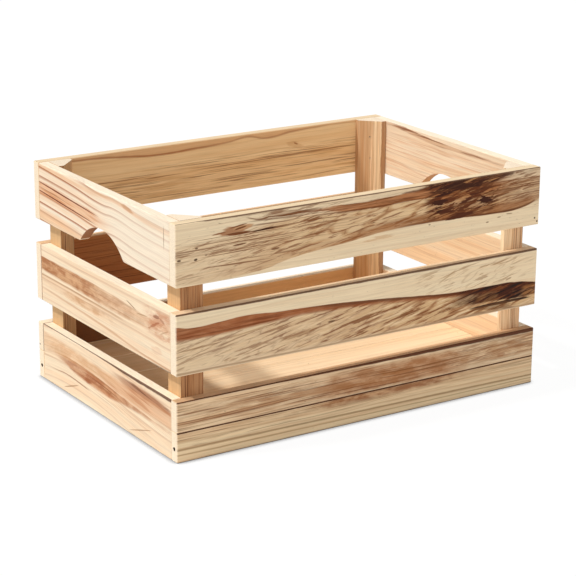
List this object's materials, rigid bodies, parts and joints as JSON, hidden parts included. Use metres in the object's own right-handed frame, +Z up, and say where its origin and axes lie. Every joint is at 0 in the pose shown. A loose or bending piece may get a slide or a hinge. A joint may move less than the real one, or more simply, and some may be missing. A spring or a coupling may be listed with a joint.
{
  "type": "wooden storage crate",
  "caption": "Open-topped slatted wooden storage crate with corner posts, a boarded floor on bearers and an arched hand hole under the top board of each end",
  "frame": {"origin": "middle of the footprint, on the surface that the crate stands on", "axes": "X along the crate's length, +X to the right seen from the front; -Y is the front long side; +Z up"},
  "size_m": [0.46, 0.312, 0.25],
  "materials": {
    "post_wood": "planed, bare",
    "wall_wood": "planed, bare",
    "floor_wood": "planed, bare",
    "bearer_wood": "sawn, bare",
    "nail_steel": "bare"
  },
  "bodies": {
    "root": {"post_front_left": "post_wood", "post_front_right": "post_wood", "post_back_left": "post_wood", "post_back_right": "post_wood", "front_board_base": "wall_wood", "front_board_lower": "wall_wood", "front_board_middle": "wall_wood", "front_board_top": "wall_wood", "back_board_base": "wall_wood", "back_board_lower": "wall_wood", "back_board_middle": "wall_wood", "back_board_top": "wall_wood", "left_board_lower": "wall_wood", "left_board_middle": "wall_wood", "left_board_top": "wall_wood", "right_board_lower": "wall_wood", "right_board_middle": "wall_wood", "right_board_top": "wall_wood", "floor_board_1": "floor_wood", "floor_board_2": "floor_wood", "floor_board_3": "floor_wood", "floor_board_4": "floor_wood", "floor_board_5": "floor_wood", "bearer_left": "bearer_wood", "bearer_middle": "bearer_wood", "bearer_right": "bearer_wood", "nails_long_boards": "nail_steel", "nails_end_boards": "nail_steel", "nails_floor": "nail_steel", "nails_bearers": "nail_steel"}
  },
  "joints": []
}
